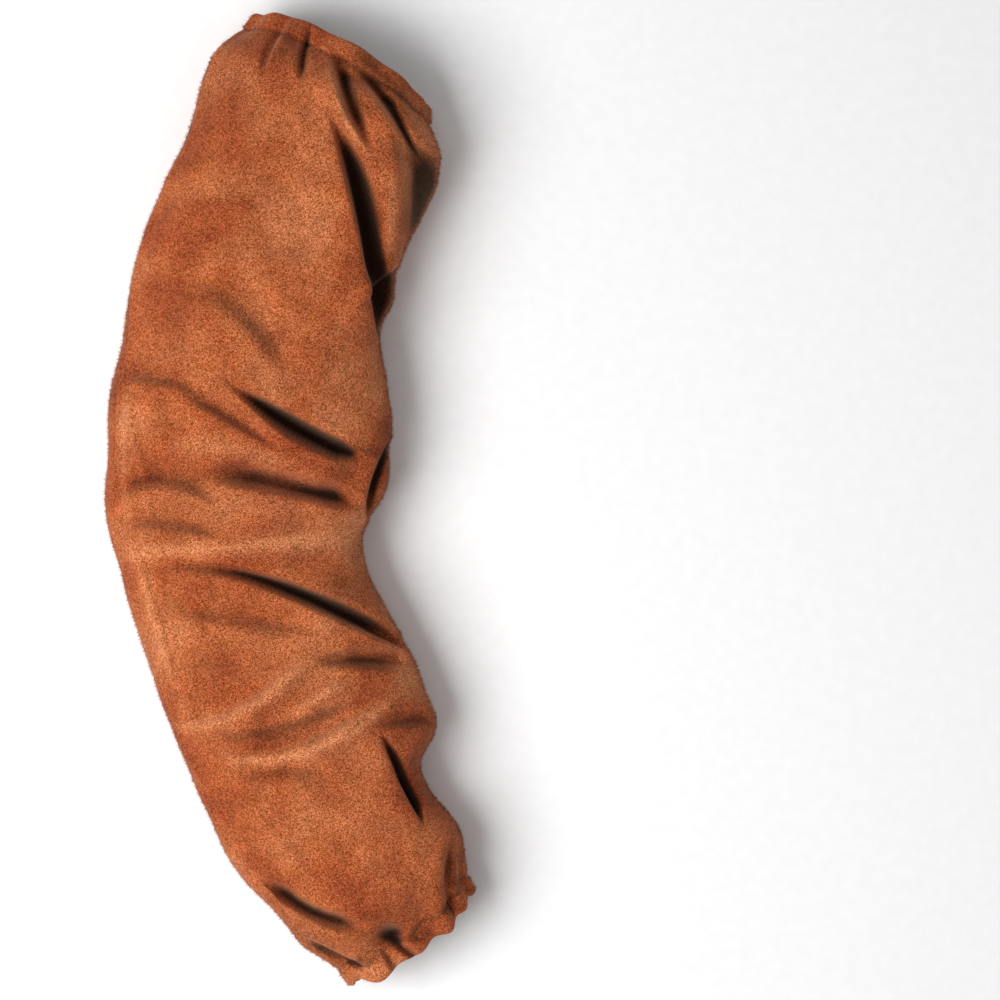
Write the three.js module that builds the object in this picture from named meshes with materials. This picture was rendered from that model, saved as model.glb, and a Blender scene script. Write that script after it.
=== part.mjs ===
// Leather welding sleeve, lying on its underside as an empty tube.
// Millimetres, +Z up. +Y points to the upper-arm end, and the wrist end curls towards +X.
// One hide is sewn into a tube along its -X side. Each end is turned inside to make a casing
// that holds a flat elastic, which gathers the mouth.

import * as THREE from 'three';

// Size of the tube, measured along its curved middle line and across it.
const SLEEVE_LENGTH = 584;
const UPPER_WIDTH = 160;
const WRIST_WIDTH = 130;
const UPPER_HEIGHT = 84;
const WRIST_HEIGHT = 66;

// Size of the two gathered mouths.
const UPPER_MOUTH_WIDTH = 128;
const UPPER_MOUTH_HEIGHT = 62;
const WRIST_MOUTH_WIDTH = 100;
const WRIST_MOUTH_HEIGHT = 50;
const UPPER_GATHER = 38;
const WRIST_GATHER = 42;
const UPPER_BOW = 10;
const WRIST_BOW = 9;
const LEFT_BOW_POWER = 4;
const RIGHT_BOW_POWER = 2;

// Leather, casings and elastics.
const LEATHER = 1.5;
const SEAM_PLY = 1.5;
const UPPER_HEM = 14;
const WRIST_HEM = 14;
const UPPER_ELASTIC_WIDTH = 8;
const WRIST_ELASTIC_WIDTH = 8;
const ELASTIC_THICKNESS = 1.4;
const CLEARANCE = 0.3;
const CASING_SLACK = 1;

// Folds are measured in these two lengths, gathers in the next two.
const FOLD_DEPTH = 16;
const FOLD_WIDTH = 16;
const RUFFLE_HEIGHT = 2;
const UPPER_RUFFLES = 13;
const WRIST_RUFFLES = 11;

// Shape of a plain cross section.
const EQUATOR = 0.42;
const BELLY = 1.35;
const SETTLE = 0.2;
const FLATNESS = 0.8;
const LEAST_RISE = 0.01;
const SIDE_RELIEF = 0.15;
const THINNEST_SLOPE = 0.4;

// Facets: round the top, round the underside and along the tube.
const TOP_COLUMNS = 26;
const UNDERSIDE_COLUMNS = 9;
const BODY_ROWS = 65;
const RIM_TURNS = 4;
const COURSE_STEPS = 400;
const FOLD_STEPS = 16;

// at: share of the sleeve's length from the upper mouth; heading: degrees from -Y towards +X.
const COURSE = [
  { at: 0.0, heading: -27 },
  { at: 0.2, heading: -17 },
  { at: 0.4, heading: -4 },
  { at: 0.6, heading: 14 },
  { at: 0.8, heading: 25 },
  { at: 1.0, heading: 37 },
];

// left, right and crown: shares of the plain half width and height at that place.
const SECTIONS = [
  { at: 0.0, left: 0.98, right: 0.91, crown: 1.0 },
  { at: 0.05, left: 0.95, right: 0.975, crown: 0.98 },
  { at: 0.1, left: 0.94, right: 1.06, crown: 1.0 },
  { at: 0.15, left: 0.91, right: 1.05, crown: 1.02 },
  { at: 0.2, left: 0.97, right: 0.99, crown: 1.02 },
  { at: 0.25, left: 1.04, right: 1.05, crown: 1.02 },
  { at: 0.3, left: 1.05, right: 1.02, crown: 1.01 },
  { at: 0.35, left: 1.035, right: 1.13, crown: 1.0 },
  { at: 0.4, left: 1.11, right: 1.22, crown: 0.98 },
  { at: 0.45, left: 1.12, right: 1.23, crown: 0.97 },
  { at: 0.5, left: 1.16, right: 1.175, crown: 0.97 },
  { at: 0.55, left: 1.12, right: 0.955, crown: 0.98 },
  { at: 0.6, left: 1.08, right: 0.965, crown: 0.98 },
  { at: 0.65, left: 1.07, right: 1.04, crown: 0.98 },
  { at: 0.7, left: 1.07, right: 1.12, crown: 0.99 },
  { at: 0.75, left: 1.07, right: 1.14, crown: 1.0 },
  { at: 0.8, left: 1.07, right: 1.08, crown: 1.0 },
  { at: 0.825, left: 1.08, right: 0.85, crown: 1.0 },
  { at: 0.85, left: 1.045, right: 0.81, crown: 1.0 },
  { at: 0.9, left: 0.94, right: 0.875, crown: 1.02 },
  { at: 0.95, left: 0.93, right: 0.855, crown: 1.02 },
  { at: 1.0, left: 1.03, right: 0.87, crown: 1.0 },
];

// Each fold is a crest with a steep wall down to a valley on one side of it.
// from, by, to: places on the crest as [share of the length, share of the half width].
// crest and depth: shares of FOLD_DEPTH; lead, wall and trail: shares of FOLD_WIDTH.
// rise and close: shares of the crest's length over which the fold comes up and dies away.
const FOLDS = [
  // the long fold below the upper mouth, the pouch on its right and a soft fold below
  {
    from: [0.064, -0.02], by: [0.176, 0.61], to: [0.33, 1.0],
    crest: 0.4, depth: 1.2, lead: 1.3, wall: 0.85, trail: 0.75, rise: 0.42, close: 0.25,
  },
  {
    from: [0.056, 0.5], by: [0.128, 0.75], to: [0.222, 0.98],
    crest: 0.25, depth: 0.6, lead: 0.8, wall: 0.9, trail: 1.2, rise: 0.3, close: 0.25,
  },
  {
    from: [0.172, 1.08], by: [0.222, 0.93], to: [0.268, 0.7],
    crest: 0.15, depth: 0.5, lead: 0.5, wall: 0.5, trail: 0.8, rise: 0.3, close: 0.3,
  },
  {
    from: [0.298, -0.75], by: [0.318, -0.08], to: [0.374, 0.28],
    crest: 0.22, depth: 0.22, lead: 1.4, wall: 0.9, trail: 0.8, rise: 0.35, close: 0.35,
  },
  // the elbow
  {
    from: [0.366, -0.22], by: [0.411, 0.31], to: [0.454, 0.84],
    crest: 0.35, depth: 1.2, lead: 1.3, wall: 0.9, trail: 0.65, rise: 0.55, close: 0.2,
  },
  {
    from: [0.39, -0.45], by: [0.413, -0.09], to: [0.438, 0.28],
    crest: 0.08, depth: 0.38, lead: 0.6, wall: 0.5, trail: 0.5, rise: 0.35, close: 0.35,
  },
  {
    from: [0.388, -1.12], by: [0.382, -0.66], to: [0.397, -0.18],
    crest: 0.1, depth: 0.28, lead: 0.8, wall: 0.5, trail: 0.6, rise: 0.35, close: 0.35,
  },
  {
    from: [0.473, -0.38], by: [0.482, 0.18], to: [0.522, 0.98],
    crest: 0.22, depth: 0.65, lead: 0.9, wall: 0.8, trail: 0.6, rise: 0.45, close: 0.2,
  },
  {
    from: [0.398, 1.08], by: [0.47, 0.9], to: [0.552, 1.06],
    crest: 0.15, depth: 0.8, lead: 0.6, wall: 0.5, trail: 0.5, rise: 0.3, close: 0.3,
  },
  // the forearm
  {
    from: [0.55, -0.6], by: [0.595, 0.28], to: [0.712, 1.05],
    crest: 0.32, depth: 1.2, lead: 1.2, wall: 0.9, trail: 0.6, rise: 0.75, close: 0.18,
  },
  {
    from: [0.68, 0.25], by: [0.702, 0.64], to: [0.728, 0.98],
    crest: 0.1, depth: 0.6, lead: 0.8, wall: 0.55, trail: 0.7, rise: 0.45, close: 0.25,
  },
  {
    from: [0.69, -0.95], by: [0.702, -0.32], to: [0.655, 0.38],
    crest: 0.34, depth: 0.16, lead: 0.5, wall: 0.9, trail: 0.8, rise: 0.35, close: 0.35,
  },
  {
    from: [0.728, -0.72], by: [0.76, 0.0], to: [0.738, 0.74],
    crest: 0.34, depth: 0.34, lead: 0.5, wall: 1.0, trail: 0.7, rise: 0.35, close: 0.35,
  },
  // the wrist
  {
    from: [0.768, 0.51], by: [0.836, 0.71], to: [0.888, 0.7],
    crest: 0.25, depth: 1.1, lead: 0.8, wall: 0.5, trail: 0.5, rise: 0.3, close: 0.3,
  },
  {
    from: [0.845, -0.86], by: [0.908, -0.74], to: [0.955, -0.24],
    crest: 0.28, depth: 0.65, lead: 0.6, wall: 0.7, trail: 0.5, rise: 0.3, close: 0.3,
  },
  {
    from: [0.992, -0.56], by: [0.956, -0.74], to: [0.916, -0.92],
    crest: 0.18, depth: 0.55, lead: 0.5, wall: 0.45, trail: 0.5, rise: 0.35, close: 0.35,
  },
  {
    from: [0.912, 0.96], by: [0.955, 0.65], to: [1.002, 0.54],
    crest: 0.12, depth: 0.35, lead: 0.4, wall: 0.45, trail: 0.45, rise: 0.35, close: 0.35,
  },
  // gathers below the upper mouth
  {
    from: [0.078, -0.46], by: [0.036, -0.54], to: [-0.006, -0.6],
    crest: 0.22, depth: 0.28, lead: 0.5, wall: 0.45, trail: 0.45, rise: 0.35, close: 0.35,
  },
  {
    from: [-0.004, -0.42], by: [0.034, -0.34], to: [0.066, -0.18],
    crest: 0.08, depth: 0.45, lead: 0.3, wall: 0.45, trail: 0.4, rise: 0.35, close: 0.35,
  },
  {
    from: [0.006, -0.08], by: [0.05, 0.24], to: [0.098, 0.66],
    crest: 0.26, depth: 0.45, lead: 0.6, wall: 0.45, trail: 0.45, rise: 0.35, close: 0.35,
  },
  {
    from: [0.016, 0.36], by: [0.046, 0.66], to: [0.08, 1.0],
    crest: 0.26, depth: 0.42, lead: 0.6, wall: 0.45, trail: 0.45, rise: 0.35, close: 0.35,
  },
];

// Soft swells and dents of the top. length: share of the length; width: of the half width;
// height: of FOLD_DEPTH.
const SWELLS = [
  { at: 0.13, across: 0.62, length: 0.05, width: 0.3, height: 0.2 },
  { at: 0.968, across: -0.19, length: 0.01, width: 0.09, height: -0.5 },
  { at: 0.923, across: 0.98, length: 0.014, width: 0.16, height: 0.25 },
  { at: 0.972, across: 0.76, length: 0.014, width: 0.16, height: 0.25 },
];

const RIM = 2 * LEATHER + ELASTIC_THICKNESS + 2 * CLEARANCE;

function smooth(x) {
  return THREE.MathUtils.smoothstep(x, 0, 1);
}

// Smooth curve through one column of a table, with tangents from the neighbours.
function read(table, column, at) {
  const last = table.length - 1;
  const slope = (i) => {
    const a = table[Math.max(i - 1, 0)];
    const b = table[Math.min(i + 1, last)];
    return (b[column] - a[column]) / (b.at - a.at);
  };
  let i = 0;
  while (i < last - 1 && at > table[i + 1].at) i += 1;
  const step = table[i + 1].at - table[i].at;
  const u = THREE.MathUtils.clamp((at - table[i].at) / step, 0, 1);
  const v = 1 - u;
  return table[i][column] * (1 + 2 * u) * v * v + table[i + 1][column] * (1 + 2 * v) * u * u
    + step * u * v * (slope(i) * v - slope(i + 1) * u);
}

// The middle line of the tube, walked along its headings in equal steps.
function walkCourse() {
  const points = [{ x: 0, y: 0 }];
  const stride = SLEEVE_LENGTH / COURSE_STEPS;
  for (let i = 0; i < COURSE_STEPS; i += 1) {
    const heading = THREE.MathUtils.degToRad(read(COURSE, 'heading', (i + 0.5) / COURSE_STEPS));
    const from = points[i];
    points.push({ x: from.x + stride * Math.sin(heading), y: from.y - stride * Math.cos(heading) });
  }
  return points;
}

const course = walkCourse();

function courseAt(s) {
  const i = Math.min(Math.floor(s * COURSE_STEPS), COURSE_STEPS - 1);
  const f = s * COURSE_STEPS - i;
  const heading = THREE.MathUtils.degToRad(read(COURSE, 'heading', s));
  return {
    x: THREE.MathUtils.lerp(course[i].x, course[i + 1].x, f),
    y: THREE.MathUtils.lerp(course[i].y, course[i + 1].y, f),
    sin: Math.sin(heading),
    cos: Math.cos(heading),
  };
}

// A size that runs straight from the upper end to the wrist and draws in at both mouths.
function gathered(s, upper, wrist, upperMouth, wristMouth) {
  const body = THREE.MathUtils.lerp(upper, wrist, s);
  const atUpper = 1 - smooth((s * SLEEVE_LENGTH) / UPPER_GATHER);
  const atWrist = 1 - smooth(((1 - s) * SLEEVE_LENGTH) / WRIST_GATHER);
  return body + (upperMouth - body) * atUpper + (wristMouth - body) * atWrist;
}

function halfWidth(s, side) {
  const half = gathered(s, UPPER_WIDTH, WRIST_WIDTH, UPPER_MOUTH_WIDTH, WRIST_MOUTH_WIDTH) / 2;
  return half * read(SECTIONS, side, s);
}

function crownHeight(s) {
  const height = gathered(s, UPPER_HEIGHT, WRIST_HEIGHT, UPPER_MOUTH_HEIGHT, WRIST_MOUTH_HEIGHT);
  return height * read(SECTIONS, 'crown', s);
}

// The top laid out flat: millimetres across and along.
function flat([at, across]) {
  const s = THREE.MathUtils.clamp(at, 0, 1);
  return new THREE.Vector2(halfWidth(s, across > 0 ? 'right' : 'left') * across, at * SLEEVE_LENGTH);
}

// A fold's crest as a curve of the flat layout that passes through its three places.
function crestLine(fold) {
  const [from, by, to] = [flat(fold.from), flat(fold.by), flat(fold.to)];
  const control = by.clone().multiplyScalar(2).addScaledVector(from, -0.5).addScaledVector(to, -0.5);
  return new THREE.QuadraticBezierCurve(from, control, to).getPoints(FOLD_STEPS);
}

const crests = FOLDS.map(crestLine);

// Nearest place on a crest line: distance, positive on the valley's side, and share of the way.
function nearest(line, x, y) {
  let best = { distance: Infinity, side: 1, at: 0 };
  for (let i = 0; i < line.length - 1; i += 1) {
    const dx = line[i + 1].x - line[i].x;
    const dy = line[i + 1].y - line[i].y;
    const px = x - line[i].x;
    const py = y - line[i].y;
    const f = THREE.MathUtils.clamp((px * dx + py * dy) / (dx * dx + dy * dy), 0, 1);
    const distance = Math.hypot(px - f * dx, py - f * dy);
    if (distance < best.distance) {
      best = { distance, side: Math.sign(px * dy - py * dx), at: (i + f) / (line.length - 1) };
    }
  }
  return best;
}

function foldHeight(fold, line, x, y) {
  const place = nearest(line, x, y);
  const ends = smooth(place.at / fold.rise) * smooth((1 - place.at) / fold.close);
  const away = (place.distance * place.side) / FOLD_WIDTH;
  let height;
  if (away < 0) {
    height = fold.crest * Math.exp(-((away / fold.lead) ** 2));
  } else if (away < fold.wall) {
    height = fold.crest - (fold.crest + fold.depth) * smooth(away / fold.wall);
  } else {
    height = -fold.depth * Math.exp(-(((away - fold.wall) / fold.trail) ** 2));
  }
  return FOLD_DEPTH * ends * height;
}

function swellHeight(swell, x, y) {
  const centre = flat([swell.at, swell.across]);
  const u = (x - centre.x) / ((swell.width * UPPER_WIDTH) / 2);
  const v = (y - centre.y) / (swell.length * SLEEVE_LENGTH);
  return FOLD_DEPTH * swell.height * Math.exp(-u * u - v * v);
}

// Even ruffles of a gathered mouth, which only draw inwards on the underside.
function ruffleHeight(s, angle) {
  const under = smooth(-2 * Math.sin(angle));
  const ruffle = (count, end, gather) => {
    const ripple = Math.cos(count * angle);
    const shape = THREE.MathUtils.lerp(ripple, (ripple - 1) / 2, under);
    return RUFFLE_HEIGHT * shape * (1 - smooth((end * SLEEVE_LENGTH) / gather));
  };
  return ruffle(UPPER_RUFFLES, s, UPPER_GATHER) + ruffle(WRIST_RUFFLES, 1 - s, WRIST_GATHER);
}

// How far the folds and the ruffles stand off the plain tube.
function relief(s, angle) {
  const x = halfWidth(s, Math.cos(angle) > 0 ? 'right' : 'left') * Math.cos(angle);
  const y = s * SLEEVE_LENGTH;
  const top = smooth(1 + 2 * Math.min(Math.sin(angle), 0));
  let height = 0;
  if (top > 0) {
    FOLDS.forEach((fold, i) => { height += foldHeight(fold, crests[i], x, y); });
    SWELLS.forEach((swell) => { height += swellHeight(swell, x, y); });
  }
  return { folds: height * top, ruffles: ruffleHeight(s, angle) };
}

// Plain cross section: a flattened half ellipse above its widest level, and a rounder half
// below it that settles on the floor. Gives the place and the outward direction.
function section(s, angle) {
  const sin = Math.sin(angle);
  const cos = Math.cos(angle);
  const half = halfWidth(s, cos > 0 ? 'right' : 'left');
  const crown = crownHeight(s);
  const level = EQUATOR * crown;
  const down = -sin * BELLY;
  const rise = Math.max(sin, LEAST_RISE);
  let up = level + (crown - level) * Math.max(sin, 0) ** FLATNESS;
  let climb = (crown - level) * FLATNESS * rise ** (FLATNESS - 1) * cos;
  if (sin < 0) {
    const rest = THREE.MathUtils.clamp((1 + SETTLE - down) / (2 * SETTLE), 0, 1);
    up = level * (down < 1 - SETTLE ? 1 - down : SETTLE * rest * rest);
    climb = level * BELLY * cos * rest;
  }
  const length = Math.hypot(climb, half * sin);
  return { across: half * cos, up, outX: climb / length, outZ: (half * sin) / length };
}

// The ends of the mouths lie further in at their two sides than in the middle.
function bow(s, angle) {
  const cos = Math.cos(angle);
  const left = cos ** LEFT_BOW_POWER;
  const right = cos > 0 ? cos ** RIGHT_BOW_POWER : left;
  const upper = UPPER_BOW * (1 - smooth((s * SLEEVE_LENGTH) / (2 * UPPER_GATHER)));
  const wrist = WRIST_BOW * (1 - smooth(((1 - s) * SLEEVE_LENGTH) / (2 * WRIST_GATHER)));
  return upper * right - wrist * left;
}

// A point at a depth under the leather's outer face, before the thickness is evened out.
function drop(s, angle, depth) {
  const line = courseAt(s);
  const plain = section(s, angle);
  const { folds, ruffles } = relief(s, angle);
  const across = plain.across + plain.outX * (SIDE_RELIEF * folds + ruffles - depth);
  const along = bow(s, angle);
  return new THREE.Vector3(
    line.x + across * line.cos + along * line.sin,
    line.y + across * line.sin - along * line.cos,
    plain.up + plain.outZ * (folds + ruffles - depth),
  );
}

// On a slope the leather is measured square to its face, so it reaches deeper there.
const PROBE = 0.002;

function steepness(s, angle) {
  const at = THREE.MathUtils.clamp(s, UPPER_HEM / SLEEVE_LENGTH, 1 - WRIST_HEM / SLEEVE_LENGTH);
  const along = drop(at + PROBE, angle, 0).sub(drop(at - PROBE, angle, 0));
  const round = drop(at, angle + PROBE, 0).sub(drop(at, angle - PROBE, 0));
  const face = along.cross(round).normalize();
  const line = courseAt(at);
  const plain = section(at, angle);
  const out = new THREE.Vector3(plain.outX * line.cos, plain.outX * line.sin, plain.outZ);
  return 1 / Math.max(THINNEST_SLOPE, Math.abs(face.dot(out)));
}

function place(s, angle, depth) {
  const point = drop(s, angle, depth * steepness(s, angle));
  point.z = Math.max(point.z, depth);
  return point;
}

// Columns round the tube, closer over the top than under it.
const angles = [];
for (let i = 0; i < TOP_COLUMNS; i += 1) angles.push((Math.PI * i) / TOP_COLUMNS);
for (let i = 0; i < UNDERSIDE_COLUMNS; i += 1) angles.push(Math.PI * (1 + i / UNDERSIDE_COLUMNS));

// A closed loop of rows, each a share of the length and a depth, swept round the tube. The
// facets of all faces are split along the same diagonals, so faces that lie close stay apart.
function sweep(rows, depthAt = (row) => row.depth) {
  const positions = [];
  rows.forEach((row) => {
    angles.forEach((angle) => positions.push(...place(row.s, angle, depthAt(row, angle)).toArray()));
  });
  const index = [];
  const corner = (r, c) => (r % rows.length) * angles.length + (c % angles.length);
  for (let r = 0; r < rows.length; r += 1) {
    for (let c = 0; c < angles.length; c += 1) {
      const [a, b] = [corner(r, c), corner(r + 1, c)];
      const [d, e] = [corner(r, c + 1), corner(r + 1, c + 1)];
      const onwards = rows[(r + 1) % rows.length].s > rows[r].s;
      index.push(...(onwards ? [a, d, b, d, e, b] : [a, d, e, a, e, b]));
    }
  }
  const geometry = new THREE.BufferGeometry();
  geometry.setAttribute('position', new THREE.Float32BufferAttribute(positions, 3));
  geometry.setIndex(index);
  return geometry;
}

// Places along one end, counted inwards from its edge.
function casing(hem, elasticWidth) {
  const round = RIM / 2;
  const start = LEATHER + CASING_SLACK;
  const end = start + elasticWidth + 2 * CLEARANCE;
  return { hem, round, start, end, pinch: (end + hem) / 2 };
}

const upper = casing(UPPER_HEM, UPPER_ELASTIC_WIDTH);
const wrist = casing(WRIST_HEM, WRIST_ELASTIC_WIDTH);

// The turned end of the tube, from its outer face round the edge and back along the casing.
function casingRows(end) {
  const roof = RIM - LEATHER;
  const stitched = LEATHER + CLEARANCE;
  const rim = [];
  for (let i = 1; i < RIM_TURNS; i += 1) {
    const turn = (Math.PI * i) / RIM_TURNS;
    rim.push({ in: end.round * (1 - Math.sin(turn)), depth: end.round * (1 - Math.cos(turn)) });
  }
  return [
    ...rim,
    { in: end.round, depth: RIM },
    { in: end.end, depth: RIM },
    { in: end.pinch, depth: stitched + LEATHER },
    { in: end.hem, depth: stitched + LEATHER },
    { in: end.hem, depth: stitched },
    { in: end.pinch, depth: stitched },
    { in: end.end, depth: roof },
    { in: end.start, depth: roof },
    { in: end.start, depth: LEATHER },
    { in: end.end, depth: LEATHER },
  ];
}

function bodyRows(depth) {
  const from = upper.hem / SLEEVE_LENGTH;
  const to = 1 - wrist.hem / SLEEVE_LENGTH;
  const rows = [];
  for (let i = 0; i <= BODY_ROWS; i += 1) {
    rows.push({ s: THREE.MathUtils.lerp(from, to, i / BODY_ROWS), depth });
  }
  return rows;
}

function panelRows() {
  const atUpper = (row) => ({ s: row.in / SLEEVE_LENGTH, depth: row.depth });
  const atWrist = (row) => ({ s: 1 - row.in / SLEEVE_LENGTH, depth: row.depth });
  return [
    atUpper({ in: upper.round, depth: 0 }),
    ...bodyRows(0),
    atWrist({ in: wrist.round, depth: 0 }),
    ...casingRows(wrist).map(atWrist),
    ...bodyRows(LEATHER).reverse(),
    ...casingRows(upper).map(atUpper).reverse(),
  ];
}

// The sewn edges of the hide lie inside the -X side and double the leather there.
const SEAM_FROM = 0.04;
const SEAM_TO = 0.96;
const SEAM_ANGLE = Math.PI * (1 + 0.5 / UNDERSIDE_COLUMNS);
const SEAM_REACH = Math.PI * (0.75 / UNDERSIDE_COLUMNS);

function panelDepth(row, angle) {
  const sewn = Math.abs(angle - SEAM_ANGLE) < SEAM_REACH && row.s > SEAM_FROM && row.s < SEAM_TO;
  return sewn && row.depth === LEATHER ? LEATHER + SEAM_PLY : row.depth;
}

function elasticRows(end, toShare) {
  const near = end.start + CLEARANCE;
  const far = end.end - CLEARANCE;
  const outer = LEATHER + CLEARANCE;
  const inner = outer + ELASTIC_THICKNESS;
  return [
    { s: toShare(near), depth: outer },
    { s: toShare(far), depth: outer },
    { s: toShare(far), depth: inner },
    { s: toShare(near), depth: inner },
  ];
}

function piece(name, geometry, material) {
  const mesh = new THREE.Mesh(geometry, material);
  mesh.name = name;
  return mesh;
}

const suede = new THREE.MeshStandardMaterial({ color: '#b0603a', roughness: 0.95, metalness: 0 });
const webbing = new THREE.MeshStandardMaterial({ color: '#e6e2d8', roughness: 0.8, metalness: 0 });

const fromUpper = (distance) => distance / SLEEVE_LENGTH;
const fromWrist = (distance) => 1 - distance / SLEEVE_LENGTH;

const sleeve = new THREE.Group();
sleeve.add(piece('sleeve_panel', sweep(panelRows(), panelDepth), suede));
sleeve.add(piece('upper_elastic', sweep(elasticRows(upper, fromUpper)), webbing));
sleeve.add(piece('wrist_elastic', sweep(elasticRows(wrist, fromWrist).reverse()), webbing));

// The origin lies on the floor under the middle of the whole sleeve.
const box = new THREE.Box3().setFromObject(sleeve);
const middle = box.getCenter(new THREE.Vector3());
sleeve.position.set(-middle.x, -middle.y, 0);
sleeve.updateMatrixWorld(true);

export default sleeve;
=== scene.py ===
"""A suede welding sleeve, lying empty on a pale floor and seen from straight above.

Blender 4.5, metres, +Z up. +Y points to the upper-arm end of the sleeve.
The sleeve's skin is one function of three numbers: the share of the length from the upper
mouth, the angle round the tube, and the depth under the outer face.
"""
import math

import bpy
import numpy as np
from mathutils import Matrix, Vector


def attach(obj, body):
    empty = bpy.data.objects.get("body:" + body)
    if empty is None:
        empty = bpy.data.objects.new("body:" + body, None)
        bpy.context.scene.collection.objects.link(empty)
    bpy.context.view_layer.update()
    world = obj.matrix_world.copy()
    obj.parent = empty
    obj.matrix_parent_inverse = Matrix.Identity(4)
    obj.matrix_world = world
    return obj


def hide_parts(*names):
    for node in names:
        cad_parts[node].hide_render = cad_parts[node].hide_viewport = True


MM = 0.001

# Size of the tube, along its curved middle line and across it.
SLEEVE_LENGTH = 584 * MM
UPPER_WIDTH = 160 * MM
WRIST_WIDTH = 130 * MM
UPPER_HEIGHT = 84 * MM
WRIST_HEIGHT = 66 * MM

# Size of the two gathered mouths.
UPPER_MOUTH_WIDTH = 128 * MM
UPPER_MOUTH_HEIGHT = 62 * MM
WRIST_MOUTH_WIDTH = 100 * MM
WRIST_MOUTH_HEIGHT = 50 * MM
UPPER_GATHER = 38 * MM
WRIST_GATHER = 42 * MM
UPPER_BOW = 10 * MM
WRIST_BOW = 9 * MM
LEFT_BOW_POWER = 4
RIGHT_BOW_POWER = 2

# Leather, casings and elastics.
LEATHER = 1.5 * MM
HEM = 14 * MM
ELASTIC_WIDTH = 8 * MM
ELASTIC_THICKNESS = 1.4 * MM
CLEARANCE = 0.3 * MM
CASING_SLACK = 1 * MM
RIM = 2 * LEATHER + ELASTIC_THICKNESS + 2 * CLEARANCE

# Folds are measured in these two lengths.
FOLD_DEPTH = 16 * MM
FOLD_WIDTH = 16 * MM

# Shape of a plain cross section: the height of its widest place as a share of the crown, how
# steeply and softly the underside comes down to the floor, the power of the curve over the top,
# the least sine in that curve's slope, and how much of the relief also goes sideways.
EQUATOR = 0.42
BELLY = 1.35
SETTLE = 0.2
FLATNESS = 0.8
LEAST_RISE = 0.01
SIDE_RELIEF = 0.15

# Mesh: columns over the top and under the tube, rows of the outer and the inner face and of an
# elastic, turns of the rounded edge in degrees, how many rows of the outer face an inner one
# stays under, and steps of the middle line.
TOP_COLUMNS = 138
UNDERSIDE_COLUMNS = 56
OUTER_ROWS = 370
INNER_ROWS = 80
ELASTIC_ROWS = 17
EDGE_TURNS = np.arange(10, 180, 16)
INNER_REACH = 1.1
COURSE_STEPS = 2000

# The photograph's frame: width seen at the height of the sleeve, and where it is centred.
FRAME_WIDTH = 607 * MM
FRAME_CENTRE = (127.7 * MM, 0.5 * MM)
CAMERA_HEIGHT = 2.4
SENSOR = 36.0

# at: share of the length; heading: degrees from -Y towards +X.
COURSE = [
    (0.0, -27), (0.2, -17), (0.4, -4), (0.6, 14), (0.8, 25), (1.0, 37),
]

# at, left, right and crown as shares of the plain half width and height.
SECTIONS = [
    (0.000, 0.980, 0.910, 1.00),
    (0.050, 0.950, 0.975, 0.98),
    (0.100, 0.940, 1.060, 1.00),
    (0.150, 0.910, 1.050, 1.02),
    (0.200, 0.970, 0.990, 1.02),
    (0.250, 1.040, 1.050, 1.02),
    (0.300, 1.050, 1.020, 1.01),
    (0.350, 1.035, 1.130, 1.00),
    (0.400, 1.110, 1.220, 0.98),
    (0.450, 1.120, 1.230, 0.97),
    (0.500, 1.160, 1.175, 0.97),
    (0.550, 1.120, 0.955, 0.98),
    (0.600, 1.080, 0.965, 0.98),
    (0.650, 1.070, 1.040, 0.98),
    (0.700, 1.070, 1.120, 0.99),
    (0.750, 1.070, 1.140, 1.00),
    (0.800, 1.070, 1.080, 1.00),
    (0.825, 1.080, 0.850, 1.00),
    (0.850, 1.045, 0.810, 1.00),
    (0.900, 0.940, 0.875, 1.02),
    (0.950, 0.930, 0.855, 1.02),
    (1.000, 1.030, 0.870, 1.00),
]

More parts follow.
